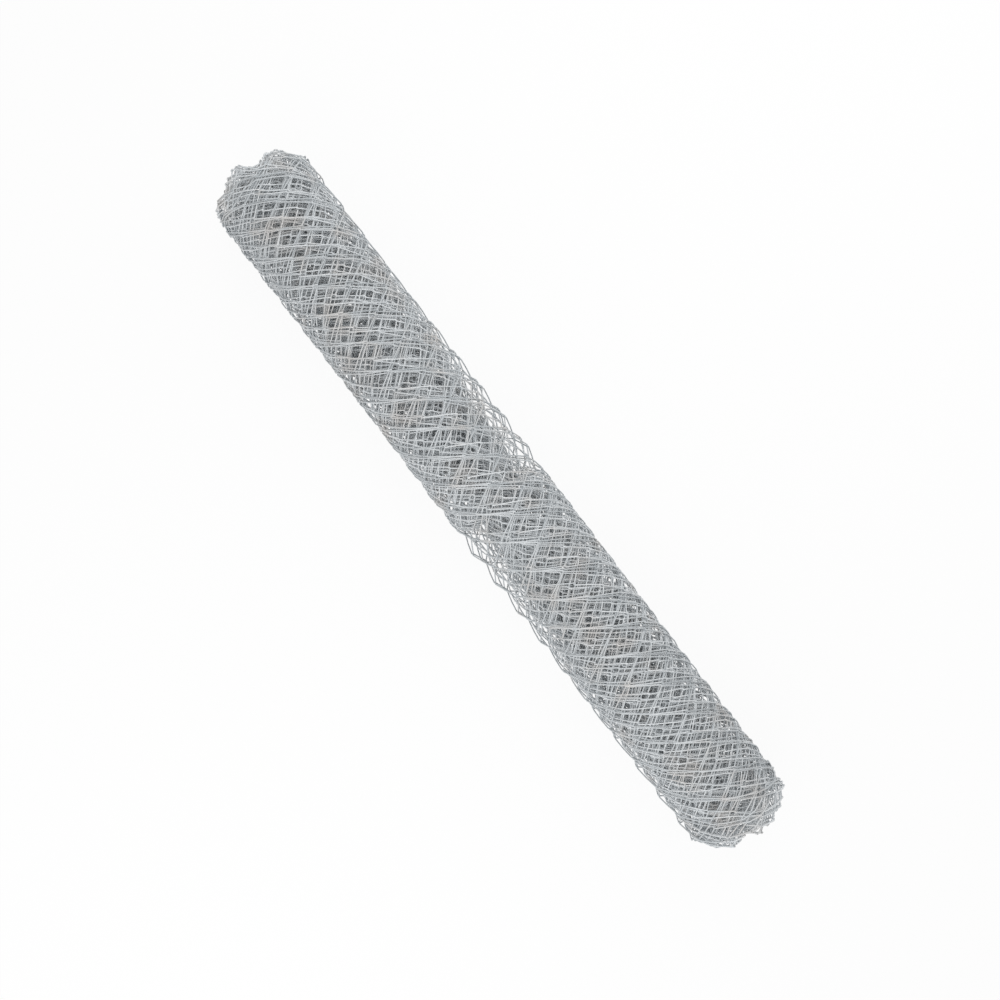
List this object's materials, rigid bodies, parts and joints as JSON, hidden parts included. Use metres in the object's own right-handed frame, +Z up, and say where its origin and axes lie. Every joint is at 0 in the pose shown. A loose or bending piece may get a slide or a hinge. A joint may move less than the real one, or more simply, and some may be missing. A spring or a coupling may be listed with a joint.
{
  "type": "roll of chain link fencing",
  "caption": "Compact cylindrical roll of galvanised diamond-mesh wire fence fabric with an open middle, lying on its side",
  "frame": {"origin": "on the floor under the roll's axis, halfway along the roll (bottom centre of the bounding box)", "axes": "+X along the roll's axis, which is the fence's height; +Z up; +Y across the roll, level"},
  "size_m": [1.829, 0.2322, 0.2322],
  "materials": {
    "galvanised_wire": "dull hot-dip galvanised wire, woven in diamonds"
  },
  "bodies": {
    "root": {"fence_roll": "galvanised_wire"}
  },
  "joints": []
}
